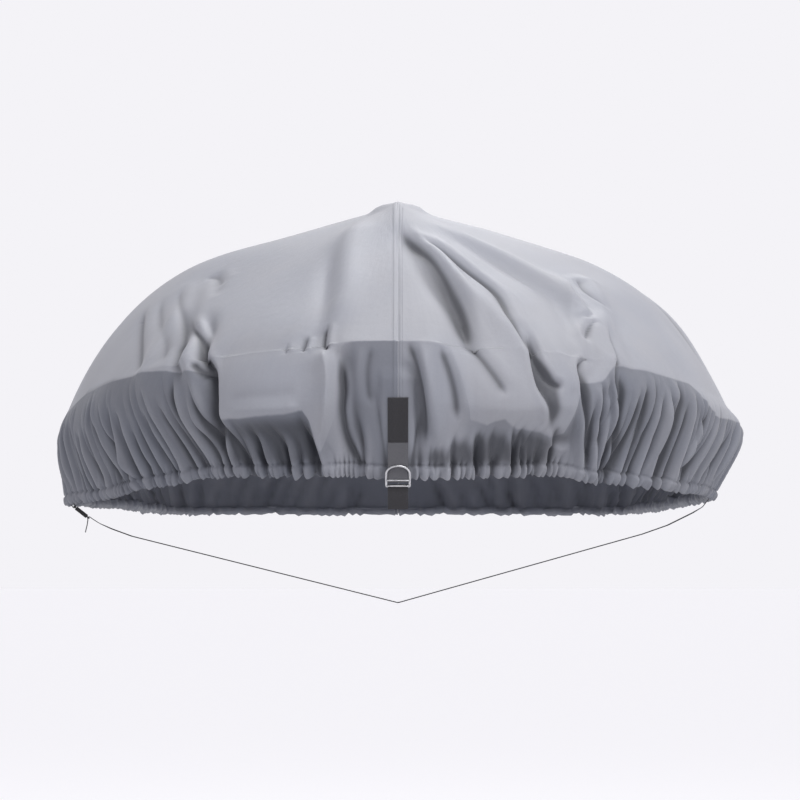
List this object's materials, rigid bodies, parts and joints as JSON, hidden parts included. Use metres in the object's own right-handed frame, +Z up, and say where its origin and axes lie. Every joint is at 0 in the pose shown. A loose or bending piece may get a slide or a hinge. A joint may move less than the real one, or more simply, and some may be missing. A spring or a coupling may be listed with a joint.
{
  "type": "boat cover",
  "caption": "Fitted grey cloth cover for a small inflatable boat: peaked over the bow, gathered along an elastic hem, with a bow strap lock and a buckled belly strap.",
  "frame": {"origin": "under the small flat peak of the cover, where the boat's windscreen or a support pole holds it up", "axes": "+Z up, +Y from the bow to the stern, +X to port"},
  "size_m": [1.6303, 3.0338, 0.866],
  "materials": {
    "cover_cloth_port": "coated woven polyester, satin",
    "cover_cloth_starboard": "coated woven polyester, satin",
    "bow_tab_webbing": "ribbed black webbing, matt",
    "bow_loop_webbing": "ribbed dark grey webbing, matt",
    "bow_lock_metal": "plated wire, bright",
    "bow_tail_webbing": "ribbed black webbing, matt",
    "belly_webbing": "ribbed dark grey webbing, matt",
    "belly_loop_webbing": "ribbed dark grey webbing, matt",
    "buckle_plastic_socket": "moulded black plastic",
    "buckle_plastic_prongs": "moulded black plastic"
  },
  "bodies": {
    "root": {"cover_port": "cover_cloth_port", "cover_starboard": "cover_cloth_starboard", "bow_tab": "bow_tab_webbing", "bow_loop": "bow_loop_webbing", "bow_lock": "bow_lock_metal", "bow_tail": "bow_tail_webbing", "belly_strap": "belly_webbing", "belly_hem_loop": "belly_loop_webbing", "belly_buckle_socket": "buckle_plastic_socket", "belly_buckle_prongs": "buckle_plastic_prongs"}
  },
  "joints": []
}
